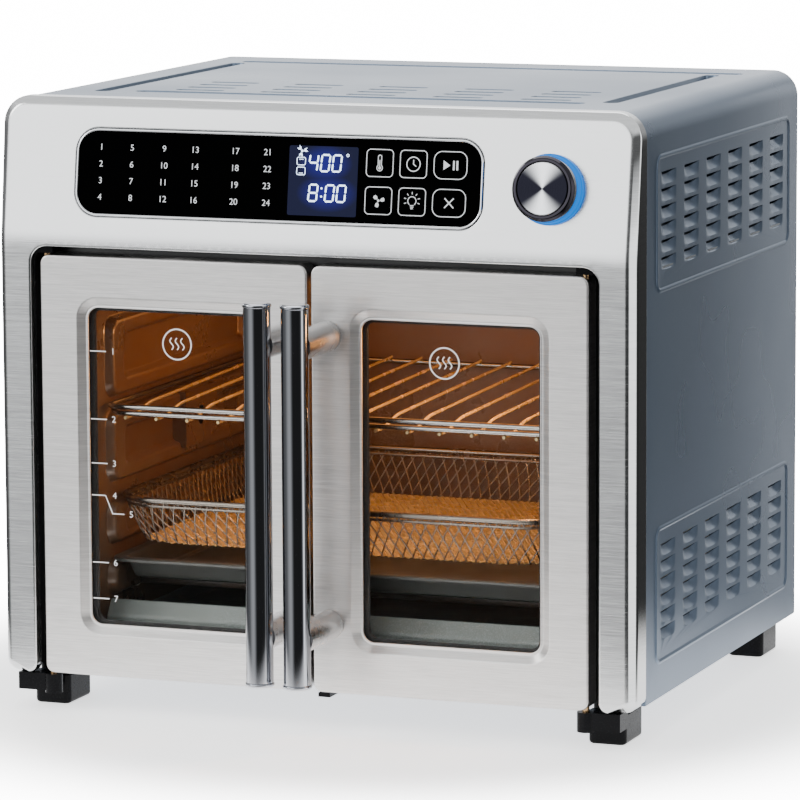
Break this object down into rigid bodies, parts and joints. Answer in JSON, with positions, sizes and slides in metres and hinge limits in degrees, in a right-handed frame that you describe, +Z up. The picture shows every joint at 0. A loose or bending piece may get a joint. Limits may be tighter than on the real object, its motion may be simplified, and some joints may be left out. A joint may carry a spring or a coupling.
{
  "type": "toaster oven",
  "caption": "Countertop convection oven: stainless front with two side-hinged glass doors, bar handles, leaning touch panel with dial, louvred sheet-metal cabinet on feet.",
  "frame": {"origin": "under the middle of the oven's whole box, on the surface it stands on", "axes": "+X to the right seen from the front, +Y to the rear, +Z up"},
  "size_m": [0.486, 0.4864, 0.449],
  "materials": {
    "painted_steel": "satin blue-grey paint on sheet steel",
    "dark_paint": "black enamel",
    "galvanised": "plain zinc-coated sheet",
    "enamel": "grey-brown speckled enamel",
    "brushed_steel": "brushed stainless, grain across",
    "chrome": "polished chrome",
    "spun_aluminium": "radially spun",
    "plain_steel": "plain steel",
    "pin_bronze": "bronze",
    "black_plastic": "moulded black",
    "control_black": "gloss black",
    "display": "lit blue display",
    "light_ring": "glowing translucent blue",
    "circuit_board": "green board",
    "copper_pad": "copper pads",
    "door_glass": "clear tempered glass",
    "lamp_glass": "clear glass",
    "seal_rubber": "silicone rubber",
    "wool": "mineral wool blanket",
    "ceramic": "glazed ceramic",
    "element_sheath": "oxidised element sheath",
    "pan_coating": "grey non-stick coating",
    "tray_enamel": "light speckled enamel",
    "motor_dark": "black laminations and paint"
  },
  "bodies": {
    "cabinet": {"cabinet_shell": "painted_steel", "rear_panel": "painted_steel", "cabinet_screws": "plain_steel", "base_pan": "painted_steel", "front_bezel": "brushed_steel", "front_frame": "dark_paint", "feet": "black_plastic", "cord_gland": "black_plastic", "panel_carrier": "black_plastic", "control_glass": "control_black", "display_module": "display", "touch_pads": "copper_pad", "control_board": "circuit_board", "power_board": "circuit_board", "encoder": "plain_steel", "knob_light_ring": "light_ring", "cavity_liner": "enamel", "insulation": "wool", "top_deck": "galvanised", "rack_guides": "enamel", "heating_elements": "element_sheath", "heater_bushes": "ceramic", "fan_shroud": "galvanised", "fan_motor": "motor_dark", "lamp_holder": "ceramic", "lamp_bulb": "lamp_glass", "lamp_lens": "lamp_glass", "spit_brackets": "enamel", "spit_motor": "motor_dark", "temperature_sensor": "plain_steel", "thermal_cutout": "ceramic", "hinge_brackets": "black_plastic", "door_catch": "black_plastic"},
    "knob": {"knob": "chrome", "knob_cap": "spun_aluminium", "encoder_shaft": "plain_steel"},
    "fan": {"fan_wheel": "galvanised", "cooling_fan": "black_plastic", "fan_shaft": "plain_steel"},
    "spit_drive": {"spit_socket": "plain_steel"},
    "rack": {"wire_rack": "chrome"},
    "basket": {"crisper_basket": "plain_steel"},
    "pan": {"baking_pan": "pan_coating"},
    "tray": {"crumb_tray": "tray_enamel"},
    "left_door": {"left_door_skin": "brushed_steel", "left_door_frame": "dark_paint", "left_door_glass": "door_glass", "left_door_seal": "seal_rubber", "left_handle_bar": "chrome", "left_handle_posts": "plain_steel", "left_handle_caps": "chrome", "left_hinge_pins": "pin_bronze"},
    "right_door": {"right_door_skin": "brushed_steel", "right_door_frame": "dark_paint", "right_door_glass": "door_glass", "right_door_seal": "seal_rubber", "right_handle_bar": "chrome", "right_handle_posts": "plain_steel", "right_handle_caps": "chrome", "right_hinge_pins": "pin_bronze"}
  },
  "joints": [
    {"name": "left_door_hinge", "type": "hinge", "parent": "cabinet", "child": "left_door", "pos_m": [-0.2055, -0.1648, 0.178], "axis": [0, 0, -1], "range_deg": [0, 105]},
    {"name": "right_door_hinge", "type": "hinge", "parent": "cabinet", "child": "right_door", "pos_m": [0.2055, -0.1648, 0.178], "axis": [0, 0, 1], "range_deg": [0, 105]},
    {"name": "knob_turn", "type": "hinge", "parent": "cabinet", "child": "knob", "pos_m": [0.179, -0.16412, 0.39453], "axis": [0, -0.9903, 0.1392], "continuous": true},
    {"name": "fan_spin", "type": "hinge", "parent": "cabinet", "child": "fan", "pos_m": [0.19, 0.0192, 0.193], "axis": [1, 0, 0], "continuous": true},
    {"name": "spit_turn", "type": "hinge", "parent": "cabinet", "child": "spit_drive", "pos_m": [-0.19, 0.0242, 0.193], "axis": [1, 0, 0], "continuous": true},
    {"name": "rack_slide", "type": "slide", "parent": "cabinet", "child": "rack", "axis": [0, -1, 0], "range_m": [0, 0.01]},
    {"name": "basket_slide", "type": "slide", "parent": "cabinet", "child": "basket", "axis": [0, -1, 0], "range_m": [0, 0.01]},
    {"name": "pan_slide", "type": "slide", "parent": "cabinet", "child": "pan", "axis": [0, -1, 0], "range_m": [0, 0.01]},
    {"name": "tray_slide", "type": "slide", "parent": "cabinet", "child": "tray", "axis": [0, -1, 0], "range_m": [0, 0.01]}
  ]
}
